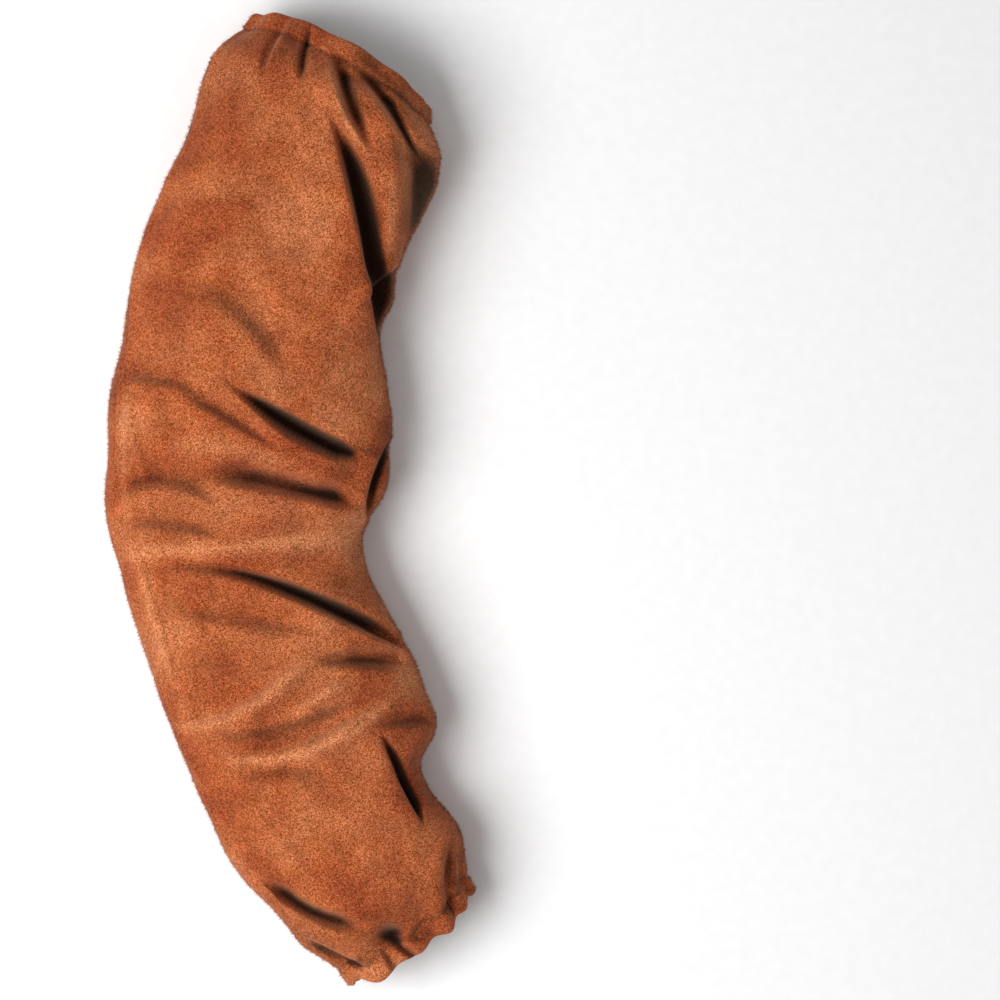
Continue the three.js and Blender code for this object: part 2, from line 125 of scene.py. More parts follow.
# Folds: three places on the crest, each a share of the length and of the half width; the
# crest's height and the valley's depth in FOLD_DEPTH; the widths of the rise, of the wall and
# of the valley in FOLD_WIDTH; how far the crest leans over the valley, in FOLD_WIDTH; and the
# shares of the crest's length over which the fold comes up and dies away.
FOLDS = [
    # the long fold below the upper mouth, the pouch on its right and a soft fold below
    ((0.064, -0.02), (0.176, 0.61), (0.330, 1.00), 0.40, 1.35, 1.30, 0.36, 0.66, 0.28, 0.42, 0.25),
    ((0.056, 0.50), (0.128, 0.75), (0.222, 0.98), 0.25, 0.60, 0.80, 0.90, 1.20, 0.00, 0.30, 0.25),
    ((0.172, 1.08), (0.222, 0.93), (0.268, 0.70), 0.15, 0.50, 0.50, 0.25, 0.80, 0.10, 0.30, 0.30),
    ((0.298, -0.75), (0.318, -0.08), (0.374, 0.28), 0.22, 0.22, 1.40, 0.90, 0.80, 0.00, 0.35, 0.35),
    # the elbow
    ((0.366, -0.22), (0.411, 0.31), (0.454, 0.84), 0.35, 1.35, 1.30, 0.28, 0.44, 0.28, 0.55, 0.20),
    ((0.390, -0.45), (0.413, -0.09), (0.438, 0.28), 0.08, 0.38, 0.60, 0.35, 0.45, 0.00, 0.35, 0.35),
    ((0.388, -1.12), (0.382, -0.66), (0.397, -0.18), 0.10, 0.28, 0.80, 0.40, 0.50, 0.00, 0.35, 0.35),
    ((0.473, -0.38), (0.482, 0.18), (0.522, 0.98), 0.22, 0.65, 0.90, 0.38, 0.60, 0.10, 0.45, 0.20),
    ((0.488, -0.95), (0.481, -0.52), (0.503, -0.08), 0.12, 0.32, 0.70, 0.50, 0.60, 0.00, 0.35, 0.35),
    ((0.512, -0.90), (0.516, -0.52), (0.536, -0.12), 0.14, 0.28, 0.70, 0.50, 0.60, 0.00, 0.35, 0.35),
    ((0.398, 1.08), (0.470, 0.90), (0.552, 1.06), 0.15, 0.80, 0.60, 0.22, 0.28, 0.12, 0.30, 0.30),
    # the forearm
    ((0.550, -0.60), (0.595, 0.28), (0.712, 1.05), 0.32, 1.25, 1.20, 0.27, 0.40, 0.25, 0.75, 0.18),
    ((0.590, -0.75), (0.623, -0.08), (0.662, 0.50), 0.10, 0.24, 0.80, 0.60, 0.60, 0.00, 0.35, 0.35),
    ((0.680, 0.25), (0.702, 0.64), (0.728, 0.98), 0.10, 0.60, 0.80, 0.45, 0.60, 0.00, 0.45, 0.25),
    ((0.690, -0.95), (0.702, -0.32), (0.655, 0.38), 0.34, 0.16, 0.50, 0.55, 0.55, 0.00, 0.35, 0.35),
    ((0.724, -0.10), (0.712, 0.24), (0.700, 0.52), 0.28, 0.10, 0.50, 0.50, 0.50, 0.00, 0.35, 0.35),
    ((0.728, -0.72), (0.760, 0.00), (0.738, 0.74), 0.34, 0.34, 0.50, 0.60, 0.50, 0.00, 0.35, 0.35),
    ((0.762, 0.50), (0.784, 0.78), (0.794, 1.00), 0.08, 0.36, 0.50, 0.40, 0.50, 0.00, 0.40, 0.30),
    ((0.762, -0.75), (0.776, -0.30), (0.798, 0.10), 0.14, 0.34, 0.70, 0.60, 0.60, 0.00, 0.35, 0.35),
    # the wrist
    ((0.770, 0.56), (0.834, 0.76), (0.892, 0.72), 0.25, 1.10, 0.80, 0.22, 0.26, 0.14, 0.30, 0.30),
    ((0.845, -0.86), (0.908, -0.74), (0.955, -0.24), 0.28, 0.65, 0.60, 0.25, 0.36, 0.12, 0.30, 0.30),
    ((0.992, -0.56), (0.956, -0.74), (0.916, -0.92), 0.18, 0.55, 0.50, 0.25, 0.50, 0.08, 0.35, 0.35),
    ((0.912, 0.96), (0.955, 0.65), (1.002, 0.54), 0.12, 0.35, 0.40, 0.22, 0.32, 0.05, 0.35, 0.35),
    ((0.976, -0.12), (0.994, 0.10), (0.996, 0.38), 0.10, 0.22, 0.30, 0.20, 0.22, 0.00, 0.35, 0.30),
    ((0.966, -0.29), (0.989, -0.24), (1.010, -0.14), 0.10, 0.26, 0.30, 0.20, 0.22, 0.00, 0.30, 0.20),
    ((0.974, -0.41), (0.990, -0.44), (1.006, -0.48), 0.08, 0.18, 0.25, 0.20, 0.18, 0.00, 0.35, 0.20),
    ((0.988, -0.90), (0.979, -0.69), (0.966, -0.52), 0.08, 0.22, 0.30, 0.20, 0.22, 0.00, 0.35, 0.30),
    ((0.968, 0.42), (0.990, 0.60), (0.998, 0.82), 0.10, 0.20, 0.30, 0.20, 0.20, 0.00, 0.35, 0.30),
    ((0.954, 0.70), (0.976, 0.77), (0.994, 0.90), 0.10, 0.20, 0.30, 0.20, 0.20, 0.00, 0.35, 0.30),
    # gathers below the upper mouth
    ((0.078, -0.46), (0.036, -0.54), (-0.006, -0.60), 0.22, 0.28, 0.50, 0.20, 0.22, 0.03, 0.35, 0.35),
    ((-0.004, -0.42), (0.034, -0.34), (0.066, -0.18), 0.08, 0.45, 0.30, 0.16, 0.18, 0.05, 0.35, 0.35),
    ((0.018, -0.12), (0.057, 0.14), (0.104, 0.52), 0.38, 0.62, 0.60, 0.30, 0.34, 0.12, 0.35, 0.35),
    ((0.024, 0.12), (0.041, 0.46), (0.084, 0.86), 0.34, 0.55, 0.50, 0.28, 0.30, 0.12, 0.35, 0.35),
    # pressed lines beside the seam
    ((0.382, -0.88), (0.430, -0.77), (0.482, -0.64), 0.10, 0.03, 0.20, 0.30, 0.40, 0.00, 0.35, 0.35),
    ((0.495, -0.88), (0.580, -0.80), (0.700, -0.86), 0.14, 0.04, 0.30, 0.30, 0.40, 0.00, 0.35, 0.35),
    ((0.770, -0.60), (0.830, -0.52), (0.890, -0.40), 0.08, 0.03, 0.30, 0.30, 0.40, 0.00, 0.35, 0.35),
]

# A row's curve is followed in this many steps, and a fold narrows to this share at its ends.
FOLD_STEPS = 24
FOLD_TAPER = 0.35

# Swells and dents: place, length as a share of the length, width of the half width, height.
SWELLS = [
    (0.130, 0.62, 0.050, 0.30, 0.20),
    (0.968, -0.19, 0.010, 0.09, -0.90),
    (0.923, 0.98, 0.014, 0.16, 0.25),
    (0.972, 0.76, 0.014, 0.16, 0.25),
    (0.023, -0.44, 0.006, 0.06, -0.22),
    (0.022, 0.02, 0.006, 0.06, -0.28),
    (0.030, 0.22, 0.006, 0.07, -0.32),
    (0.034, 0.56, 0.006, 0.07, -0.30),
]

# Painted shade and painted highlights on the nap: soft patches painted darker where a slope lies in
# shade and, below zero, paler where the light falls: place, length as a share of the length, width of
# the half width, strength.
PAINTED_LIGHT_SPOTS = [
    (0.112, 0.94, 0.030, 0.13, 0.70),
    (0.150, 1.00, 0.024, 0.11, 0.60),
    (0.090, -0.70, 0.040, 0.25, 0.16),
    (0.175, -0.25, 0.030, 0.22, 0.18),
    (0.235, 0.05, 0.020, 0.30, 0.16),
    (0.385, -1.02, 0.016, 0.10, 0.35),
    (0.405, 1.04, 0.050, 0.10, 0.25),
    (0.605, 0.78, 0.020, 0.16, 0.30),
    (0.650, -0.40, 0.025, 0.35, 0.14),
    (0.930, -0.85, 0.030, 0.12, 0.25),
    (0.345, -0.45, 0.028, 0.25, -0.30),
    (0.420, -0.82, 0.022, 0.12, -0.35),
    (0.500, 0.25, 0.018, 0.25, -0.40),
    (0.540, 0.60, 0.025, 0.30, -0.45),
    (0.640, 0.35, 0.014, 0.22, -0.30),
    (0.755, 0.30, 0.018, 0.25, -0.40),
    (0.720, 0.90, 0.020, 0.10, -0.35),
    (0.800, 0.45, 0.025, 0.20, -0.35),
    (0.930, 0.30, 0.025, 0.30, -0.12),
]

# Painted shade and painted highlights along the soft folds: streaks painted darker in the shaded
# walls and, below zero, paler on the lit ridges and sides: three places as for a fold, half width in
# FOLD_WIDTH, strength.
PAINTED_LIGHT_STREAKS = [
    # darker, below the upper mouth
    ((0.004, 0.02), (0.014, 0.45), (0.026, 0.98), 0.30, 0.55),
    ((0.004, -0.42), (0.032, -0.32), (0.066, -0.14), 0.13, 0.40),
    ((0.022, 0.04), (0.044, 0.22), (0.066, 0.46), 0.20, 0.60),
    ((0.030, 0.56), (0.056, 0.65), (0.080, 0.84), 0.20, 0.55),
    ((0.105, 0.38), (0.163, 0.68), (0.228, 0.95), 0.38, 0.42),
    ((0.280, -0.62), (0.300, -0.10), (0.362, 0.26), 0.28, 0.34),
    # darker, round the elbow
    ((0.382, -1.00), (0.379, -0.58), (0.392, -0.18), 0.20, 0.40),
    ((0.380, -0.50), (0.406, -0.14), (0.438, 0.34), 0.20, 0.36),
    ((0.424, 0.55), (0.440, 0.82), (0.446, 1.02), 0.24, 0.45),
    ((0.478, -0.98), (0.469, -0.56), (0.496, -0.04), 0.24, 0.34),
    ((0.504, -0.95), (0.512, -0.50), (0.532, -0.05), 0.24, 0.32),
    ((0.478, 0.25), (0.496, 0.64), (0.520, 0.98), 0.34, 0.25),
    # darker, on the forearm
    ((0.546, -0.68), (0.559, -0.22), (0.584, 0.22), 0.16, 0.48),
    ((0.576, -0.86), (0.612, -0.22), (0.662, 0.52), 0.26, 0.32),
    ((0.676, 0.22), (0.688, 0.58), (0.728, 0.94), 0.30, 0.50),
    ((0.712, -0.72), (0.729, -0.05), (0.730, 0.62), 0.20, 0.45),
    ((0.764, 0.54), (0.776, 0.78), (0.786, 1.00), 0.22, 0.42),
    ((0.752, -0.66), (0.768, -0.30), (0.792, 0.04), 0.30, 0.32),
    # darker, at the wrist
    ((0.976, -0.06), (0.989, 0.10), (0.991, 0.34), 0.12, 0.60),
    ((0.962, -0.24), (0.985, -0.20), (1.004, -0.12), 0.12, 0.75),
    ((0.976, -0.38), (0.988, -0.41), (1.004, -0.45), 0.12, 0.50),
    ((0.982, -0.86), (0.974, -0.67), (0.964, -0.52), 0.14, 0.60),
    ((0.968, 0.48), (0.984, 0.62), (0.992, 0.80), 0.14, 0.55),
    ((0.920, 0.96), (0.950, 0.80), (0.990, 0.88), 0.20, 0.45),
    # paler, on the upper arm and round the elbow
    ((0.016, -0.14), (0.060, 0.14), (0.112, 0.56), 0.20, -0.80),
    ((0.026, 0.22), (0.048, 0.50), (0.090, 0.84), 0.14, -0.60),
    ((0.104, 0.66), (0.156, 0.80), (0.216, 0.92), 0.26, -0.70),
    ((0.436, -0.62), (0.438, -0.08), (0.455, 0.46), 0.34, -0.50),
    ((0.532, -1.05), (0.533, -0.48), (0.543, 0.10), 0.24, -0.80),
    ((0.538, -0.20), (0.543, 0.36), (0.556, 1.00), 0.34, -0.80),
    ((0.372, -0.84), (0.440, -0.86), (0.530, -0.80), 0.16, -0.45),
    ((0.515, -0.80), (0.590, -0.82), (0.665, -0.84), 0.16, -0.60),
    # paler, along the right side
    ((0.280, 0.96), (0.345, 0.94), (0.410, 1.00), 0.40, -0.60),
    ((0.490, 1.00), (0.545, 0.92), (0.610, 0.96), 0.50, -0.70),
    ((0.640, 0.94), (0.705, 0.92), (0.770, 0.94), 0.50, -0.70),
    # paler, on the forearm
    ((0.680, -1.15), (0.698, -0.36), (0.652, 0.48), 0.24, -0.85),
    ((0.725, -0.12), (0.712, 0.24), (0.704, 0.56), 0.18, -0.70),
    ((0.718, -0.80), (0.760, 0.02), (0.726, 1.10), 0.27, -0.90),
]
STREAK_ENDS = 0.3

# Painted light, from painted highlight to painted shade: its range, the depths in FOLD_DEPTH between
# which a crease is painted darker, the share of a crease's painted shade that is left on the sides,
# and the sine where it fades.
PAINTED_LIGHT_RANGE = (-1.0, 1.0)
PAINTED_CREASE_RANGE = (0.12, 0.72)
SIDE_SHADE = 0.3
SIDE_START = 0.3

# The long seam: share of the length, and of the left half width, where it runs; then the height
# of its ridge, the depth of its groove, and where both lie, in SEAM_WIDTH off that line.
SEAM = [
    (0.00, -0.98), (0.10, -0.95), (0.30, -0.96), (0.39, -0.92), (0.45, -0.93), (0.53, -0.96),
    (0.62, -0.93), (0.70, -0.95), (0.78, -0.91), (0.84, -0.87), (0.90, -0.90), (1.00, -0.96),
]
SEAM_RIDGE = 1.5 * MM
SEAM_GROOVE = 2.0 * MM
SEAM_WIDTH = 2.0 * MM
SEAM_RIDGE_OFFSET = 0.6
SEAM_GROOVE_OFFSET = 0.7

# Hems: the roll over each elastic, the groove that the stitches pull in and the painted shade in
# it, and the ruffles and scallops of both edges with their number.
HEM_ROLL = 0.9 * MM
STITCH_LINE = 12.5 * MM
STITCH_GROOVE = 1.2 * MM
STITCH_GROOVE_WIDTH = 1.3 * MM
STITCH_SHADE = 0.35
UPPER_RUFFLE = 0.9 * MM
WRIST_RUFFLE = 1.9 * MM
UPPER_SCALLOP = 0.5 * MM
WRIST_SCALLOP = 2.4 * MM
UPPER_RUFFLES = 13
WRIST_RUFFLES = 11

# Ruffles are a wandering main wave and a slower one that has some crests less.
RIPPLE_WEIGHTS = (0.7, 0.3)
RIPPLE_DIFFERENCE = 5
RIPPLE_WANDER = 1.2

# Soft unevenness of the hide: number of waves, their shortest and longest length, and height.
LUMP_SEED = 11
LUMPS = 14
SHORTEST_LUMP = 26 * MM
LONGEST_LUMP = 90 * MM
LUMP_HEIGHT = 0.45 * MM

# Stitches along both hems: how far each point sinks in and how thick it is, in THREAD_RADIUS.
STITCH_LENGTH = 2.9 * MM
STITCH_GAP = 1.1 * MM
THREAD_RADIUS = 0.4 * MM
THREAD_SIDES = 6
STITCH_SINK = (0.9, 0.2, -0.35, -0.35, 0.2, 0.9)
STITCH_THICKNESS = (0.5, 1, 1, 1, 1, 0.5)
STITCH_LINE_STEPS = 1500

# Short fibres of the suede's nap: how deep they root, how much they tangle, the shares of the
# length and the angle under the sides that they reach, and how many stand along the sides, and
# how closely.
NAP_SEED = 5
FIBRES = 46000
FIBRE_LENGTHS = (0.7 * MM, 2.8 * MM)
FIBRE_RADIUS = 0.13 * MM
FIBRE_ROOT = 0.15 * MM
FIBRE_TANGLE = 0.55
FIBRE_ENDS = (0.002, 0.998)
FIBRE_REACH = 0.25
SIDE_FIBRES = 0.45
SIDE_SPREAD = 0.22

# Colours.
SUEDE_DARK = (0.23, 0.044, 0.015)
SUEDE_RED = (0.30, 0.066, 0.021)
SUEDE_MIDDLE = (0.36, 0.094, 0.032)
SUEDE_LIGHT = (0.43, 0.138, 0.055)
# Tan that the painted highlights mix in.
PAINTED_HIGHLIGHT_TAN = (0.55, 0.205, 0.088)
THREAD_COLOUR = (0.030, 0.022, 0.016)
ELASTIC_COLOUR = (0.72, 0.69, 0.62)
FLOOR_COLOUR = (0.88, 0.88, 0.88)
SHEEN_TINT = (1.0, 0.62, 0.40)

# Suede: how many of each pattern to a metre, the brightness and saturation that they give, the
# heights of its bumps, and how pale the painted highlights and how dark the painted shade make it.
CLOUD_SCALE = 19
BLOTCH_SCALE = 75
BLOTCH_BRIGHTNESS = (0.86, 1.14)
SPECK_SCALE = 2000
SPECK_BRIGHTNESS = (0.35, 1.65)
SPECK_SATURATION = (1.12, 0.94)
LUMP_SCALE = 210
LUMP_BUMP = 0.9 * MM
GRAIN_SCALE = 1100
GRAIN_BUMP = 0.35 * MM
PAINTED_HIGHLIGHT_MIX = 0.75
PAINTED_SHADE_BRIGHTNESS = 0.06

# Thread, elastic and floor.
THREAD_WEAR_SCALE = 1500
THREAD_BUMP = 0.2 * MM
RIB_SCALE = 260
RIB_BUMP = 0.3 * MM
DUST_SCALE = 600
DUST_BRIGHTNESS = (0.85, 1.1)
FLOOR_GRAIN_SCALE = 120
FLOOR_REACH = 6

# Lights: name, place, size and power. They point at the origin.
LIGHTS = [
    ("key", (-1.1, -0.45, 1.7), 1.4, 52),
    ("overhead", (0.3, 0.3, 2.3), 2.4, 7),
]
WORLD_LIGHT = 0.3


def make_camera():
    data = bpy.data.cameras.new("camera")
    data.sensor_width = SENSOR
    data.lens = SENSOR * (CAMERA_HEIGHT - UPPER_HEIGHT / 2) / FRAME_WIDTH
    camera = bpy.data.objects.new("camera", data)
    camera.location = (FRAME_CENTRE[0], FRAME_CENTRE[1], CAMERA_HEIGHT)
    bpy.context.collection.objects.link(camera)
    bpy.context.scene.camera = camera


def smooth(x):
    x = np.clip(x, 0, 1)
    return x * x * (3 - 2 * x)


def read(table, column, at):
    """Smooth curve through one column of a table."""
    places = np.array([row[0] for row in table], float)
    values = np.array([row[column] for row in table], float)
    slopes = np.gradient(values, places)
    i = np.clip(np.searchsorted(places, at, side="right") - 1, 0, len(places) - 2)
    step = places[i + 1] - places[i]
    u = np.clip((at - places[i]) / step, 0, 1)
    v = 1 - u
    ends = values[i] * (1 + 2 * u) * v * v + values[i + 1] * (1 + 2 * v) * u * u
    return ends + step * u * v * (slopes[i] * v - slopes[i + 1] * u)


def walk_course():
    """The middle line of the tube as arrays of share, x, y and heading."""
    share = np.linspace(0, 1, COURSE_STEPS + 1)
    heading = np.radians(read(COURSE, 1, share))
    middle = np.radians(read(COURSE, 1, (share[1:] + share[:-1]) / 2))
    stride = SLEEVE_LENGTH / COURSE_STEPS
    x = np.concatenate([[0], np.cumsum(np.sin(middle) * stride)])
    y = np.concatenate([[0], np.cumsum(-np.cos(middle) * stride)])
    return share, x, y, heading


COURSE_LINE = walk_course()


def gathered(s, upper, wrist, upper_mouth, wrist_mouth):
    """A size that runs straight from end to end and draws in at both mouths."""
    body = upper + (wrist - upper) * s
    at_upper = 1 - smooth(s * SLEEVE_LENGTH / UPPER_GATHER)
    at_wrist = 1 - smooth((1 - s) * SLEEVE_LENGTH / WRIST_GATHER)
    return body + (upper_mouth - body) * at_upper + (wrist_mouth - body) * at_wrist


def half_widths(s):
    half = gathered(s, UPPER_WIDTH, WRIST_WIDTH, UPPER_MOUTH_WIDTH, WRIST_MOUTH_WIDTH) / 2
    return half * read(SECTIONS, 1, s), half * read(SECTIONS, 2, s)


def crown_height(s):
    height = gathered(s, UPPER_HEIGHT, WRIST_HEIGHT, UPPER_MOUTH_HEIGHT, WRIST_MOUTH_HEIGHT)
    return height * read(SECTIONS, 3, s)


def flat(place):
    """A place of the top laid out flat: across and along."""
    at, across = place
    left, right = half_widths(min(max(at, 0), 1))
    return np.array([(right if across > 0 else left) * across, at * SLEEVE_LENGTH])


def trace(row, x, y):
    """Distance to the right of a row's curve, share of its length and its two normals."""
    start, by, end = flat(row[0]), flat(row[1]), flat(row[2])
    control = 2 * by - (start + end) / 2
    q = np.linspace(0, 1, FOLD_STEPS + 1)[:, None]
    line = start * (1 - q) ** 2 + 2 * control * q * (1 - q) + end * q * q
    nearest = np.full(x.shape, np.inf)
    side, along, normal_x, normal_y = (np.zeros(x.shape) for _ in range(4))
    for i in range(FOLD_STEPS):
        dx, dy = line[i + 1] - line[i]
        length = math.hypot(dx, dy)
        px, py = x - line[i][0], y - line[i][1]
        f = np.clip((px * dx + py * dy) / length ** 2, 0, 1)
        away = np.hypot(px - f * dx, py - f * dy)
        closer = away < nearest
        nearest = np.where(closer, away, nearest)
        side = np.where(closer, np.sign(px * dy - py * dx), side)
        along = np.where(closer, (i + f) / FOLD_STEPS, along)
        normal_x = np.where(closer, dy / length, normal_x)
        normal_y = np.where(closer, -dx / length, normal_y)
    return nearest * side / FOLD_WIDTH, along, normal_x, normal_y


def fold_relief(row, x, y):
    """A fold's height and the two parts of its lean at places of the flat layout."""
    crest, depth, lead, wall, trail, lean, rise, close = row[3:]
    off, along, normal_x, normal_y = trace(row, x, y)
    ends = smooth(along / rise) * smooth((1 - along) / close)
    off = off + lean * ends
    taper = FOLD_TAPER + (1 - FOLD_TAPER) * ends
    wall, trail = wall * taper, trail * taper
    before = np.exp(-(np.minimum(off, 0) / lead) ** 2)
    within = 1 - smooth(off / wall)
    after = np.exp(-(np.maximum(off - wall, 0) / trail) ** 3)
    drop = crest * within - depth * (1 - within)
    height = np.where(off < 0, crest * before, np.where(off < wall, drop, -depth * after))
    push = lean * np.where(off < 0, before, np.where(off < wall, within, 0)) * ends * FOLD_WIDTH
    return height * ends * FOLD_DEPTH, push * normal_x, push * normal_y


def painted_light_streak(row, x, y):
    """How much painted shade a streak gives; below zero, how much painted highlight."""
    width, strength = row[3:]
    off, along, _, _ = trace(row, x, y)
    ends = smooth(along / STREAK_ENDS) * smooth((1 - along) / STREAK_ENDS)
    return strength * ends * np.exp(-(off / width) ** 2)


def soft_spot(row, x, y):
    """A round bell of the row's height at its place, its length and its width."""
    at, across, length, width, height = row
    centre = flat((at, across))
    u = (x - centre[0]) / (width * UPPER_WIDTH / 2)
    v = (y - centre[1]) / (length * SLEEVE_LENGTH)
    return height * np.exp(-u * u - v * v)


def ripple(count, angle):
    """An uneven wave of a count of crests round the tube."""
    wander = RIPPLE_WANDER * np.sin(2 * angle + count)
    main, slow = RIPPLE_WEIGHTS
    slower = count - RIPPLE_DIFFERENCE
    return main * np.cos(count * angle + wander) + slow * np.cos(slower * angle)


def ruffle(s, angle):
    """Even ruffles of the gathered mouths, which only draw inwards on the underside."""
    under = smooth(-2 * np.sin(angle))

    def gathers(count, height, share, length):
        wave = ripple(count, angle)
        shape = wave + (0.5 * (wave - 1) - wave) * under
        return height * shape * (1 - smooth(share * SLEEVE_LENGTH / length))

    return (gathers(UPPER_RUFFLES, UPPER_RUFFLE, s, UPPER_GATHER)
            + gathers(WRIST_RUFFLES, WRIST_RUFFLE, 1 - s, WRIST_GATHER))


def hem_relief(s):
    """The roll over an elastic and the groove along its stitches."""
    inside = np.minimum(s, 1 - s) * SLEEVE_LENGTH
    roll = HEM_ROLL * np.sin(math.pi * np.clip(inside / STITCH_LINE, 0, 1))
    groove = STITCH_GROOVE * np.exp(-((inside - STITCH_LINE) / STITCH_GROOVE_WIDTH) ** 2)
    return roll - groove


def seam_relief(x, y):
    """A small ridge along the seam, with a groove on its outer side."""
    s = y / SLEEVE_LENGTH
    left, _ = half_widths(s)
    off = (x - left * read(SEAM, 1, s)) / SEAM_WIDTH
    ridge = SEAM_RIDGE * np.exp(-(off - SEAM_RIDGE_OFFSET) ** 2)
    return ridge - SEAM_GROOVE * np.exp(-(off + SEAM_GROOVE_OFFSET) ** 2)


def make_lumps():
    """Seeded waves over the flat layout: two wave numbers and a phase for each."""
    rng = np.random.default_rng(LUMP_SEED)
    wave = 2 * math.pi / rng.uniform(SHORTEST_LUMP, LONGEST_LUMP, LUMPS)
    way = rng.uniform(0, math.pi, LUMPS)
    return np.stack([wave * np.cos(way), wave * np.sin(way), rng.uniform(0, 6, LUMPS)], axis=1)


LUMP_WAVES = make_lumps()


def lump_relief(x, y):
    waves = sum(np.sin(a * x + b * y + phase) for a, b, phase in LUMP_WAVES)
    return LUMP_HEIGHT * waves / math.sqrt(LUMPS)


def layout(s, angle):
    """Places of the flat layout: across and along."""
    left, right = half_widths(s)
    x = np.where(np.cos(angle) > 0, right, left) * np.cos(angle)
    return np.broadcast_arrays(x, s * SLEEVE_LENGTH)


def relief(s, angle):
    """Height of folds and of small relief off the plain tube, and the shift of the folds."""
    x, y = layout(s, angle)
    height, across, along = (np.zeros(x.shape) for _ in range(3))
    for row in FOLDS:
        up, to_side, to_wrist = fold_relief(row, x, y)
        height, across, along = height + up, across + to_side, along + to_wrist
    for row in SWELLS:
        height = height + FOLD_DEPTH * soft_spot(row, x, y)
    top = smooth(1 + 2 * np.minimum(np.sin(angle), 0))
    small = (seam_relief(x, y) + lump_relief(x, y)) * top + ruffle(s, angle)
    under = smooth(-4 * np.sin(angle))
    small = small + hem_relief(s) * (1 - under)
    return height * top, small, across * top, along * top


def section(s, angle):
    """Plain cross section: place across and up, and the outward direction."""
    sin, cos = np.sin(angle), np.cos(angle)
    left, right = half_widths(s)
    half = np.where(cos > 0, right, left)
    crown = crown_height(s)
    level = EQUATOR * crown
    down = -sin * BELLY
    rest = np.clip((1 + SETTLE - down) / (2 * SETTLE), 0, 1)
    under = level * np.where(down < 1 - SETTLE, 1 - down, SETTLE * rest * rest)
    rise = np.maximum(sin, LEAST_RISE)
    up = np.where(sin < 0, under, level + (crown - level) * np.maximum(sin, 0) ** FLATNESS)
    steep = (crown - level) * FLATNESS * rise ** (FLATNESS - 1) * cos
    climb = np.where(sin < 0, level * BELLY * cos * rest, steep)
    length = np.hypot(climb, half * sin)
    return half * cos, up, climb / length, half * sin / length


def bow(s, angle):
    """The mouths' edges lie further in at their two sides, and run unevenly."""
    at_upper = 1 - smooth(s * SLEEVE_LENGTH / (2 * UPPER_GATHER))
    at_wrist = 1 - smooth((1 - s) * SLEEVE_LENGTH / (2 * WRIST_GATHER))
    upper = UPPER_SCALLOP * ripple(UPPER_RUFFLES, angle) * at_upper ** 3
    wrist = WRIST_SCALLOP * ripple(WRIST_RUFFLES, angle) * at_wrist ** 3
    left = np.cos(angle) ** LEFT_BOW_POWER
    upper_side = np.where(np.cos(angle) > 0, np.cos(angle) ** RIGHT_BOW_POWER, left)
    return UPPER_BOW * at_upper * upper_side - WRIST_BOW * at_wrist * left + wrist - upper


def skin(s, angle, depth, lift):
    """Points of the leather, as an array of rows, columns and three coordinates."""
    share, course_x, course_y, headings = COURSE_LINE
    x0, y0 = np.interp(s, share, course_x), np.interp(s, share, course_y)
    heading = np.interp(s, share, headings)
    plain, up, out_x, out_z = section(s, angle)
    height, small, to_side, to_wrist = lift
    across = plain + out_x * (SIDE_RELIEF * height + small - depth) + to_side * np.abs(out_z)
    along = bow(s, angle) - to_wrist * np.abs(out_z)
    x = x0 + across * np.cos(heading) + along * np.sin(heading)
    y = y0 + across * np.sin(heading) - along * np.cos(heading)
    z = np.maximum(up + out_z * (height + small - depth), depth)
    return np.stack(np.broadcast_arrays(x, y, z), axis=-1)


def column_angles():
    top = np.linspace(0, math.pi, TOP_COLUMNS, endpoint=False)
    under = np.linspace(math.pi, 2 * math.pi, UNDERSIDE_COLUMNS, endpoint=False)
    return np.concatenate([top, under])[None, :]


def casing_rows():
    """A turned end, from its outer face round the edge and back inside: distance and depth."""
    round_over = [
        (RIM / 2 * (1 - math.sin(turn)), RIM / 2 * (1 - math.cos(turn)))
        for turn in np.radians(EDGE_TURNS)
    ]
    stitched = LEATHER + CLEARANCE
    start = LEATHER + CASING_SLACK
    end = start + ELASTIC_WIDTH + 2 * CLEARANCE
    pinch = (end + HEM) / 2
    return round_over + [
        (RIM / 2, RIM), (end, RIM), (pinch, stitched + LEATHER), (HEM, stitched + LEATHER),
        (HEM, stitched), (pinch, stitched), (end, RIM - LEATHER), (start, RIM - LEATHER),
        (start, LEATHER), (end, LEATHER), (HEM, LEATHER),
    ]


def mesh_piece(name, vertices, faces, material):
    mesh = bpy.data.meshes.new(name)
    mesh.from_pydata(np.asarray(vertices).tolist(), [], np.asarray(faces).tolist())
    mesh.materials.append(material)
    mesh.shade_smooth()
    piece = bpy.data.objects.new(name, mesh)
    bpy.context.collection.objects.link(piece)
    return piece


def sweep(name, rows, material, lift=None):
    """A mesh of a closed loop of rows (share of the length, depth) swept round the tube."""
    s = np.array([row[0] for row in rows])[:, None]
    depth = np.array([row[1] for row in rows])[:, None]
    if lift is None:
        lift = relief(s, column_angles())
    points = skin(s, column_angles(), depth, lift)
    count, columns = points.shape[:2]
    row = np.arange(count)[:, None]
    column = np.arange(columns)[None, :]
    after, beside = (row + 1) % count, (column + 1) % columns
    corners = [row * columns + column, row * columns + beside, after * columns + beside,
               after * columns + column]
    faces = np.stack(np.broadcast_arrays(*corners), axis=-1)
    return mesh_piece(name, points.reshape(-1, 3), faces.reshape(-1, 4), material)


def inner_lift(shares, outer_shares, outer_lift):
    """Relief of the inner face: the lowest of the outer face nearby, so it never shows."""
    height, small, _, _ = outer_lift
    lowest = height + small
    for turn in (-2, -1, 1, 2):
        lowest = np.minimum(lowest, np.roll(height + small, turn, axis=1))
    reach = (shares[0] - shares[1]) * INNER_REACH
    rows = [lowest[np.abs(outer_shares - share) <= reach].min(axis=0) for share in shares]
    inner = np.array(rows)
    return inner, np.zeros(inner.shape), np.zeros(inner.shape), np.zeros(inner.shape)


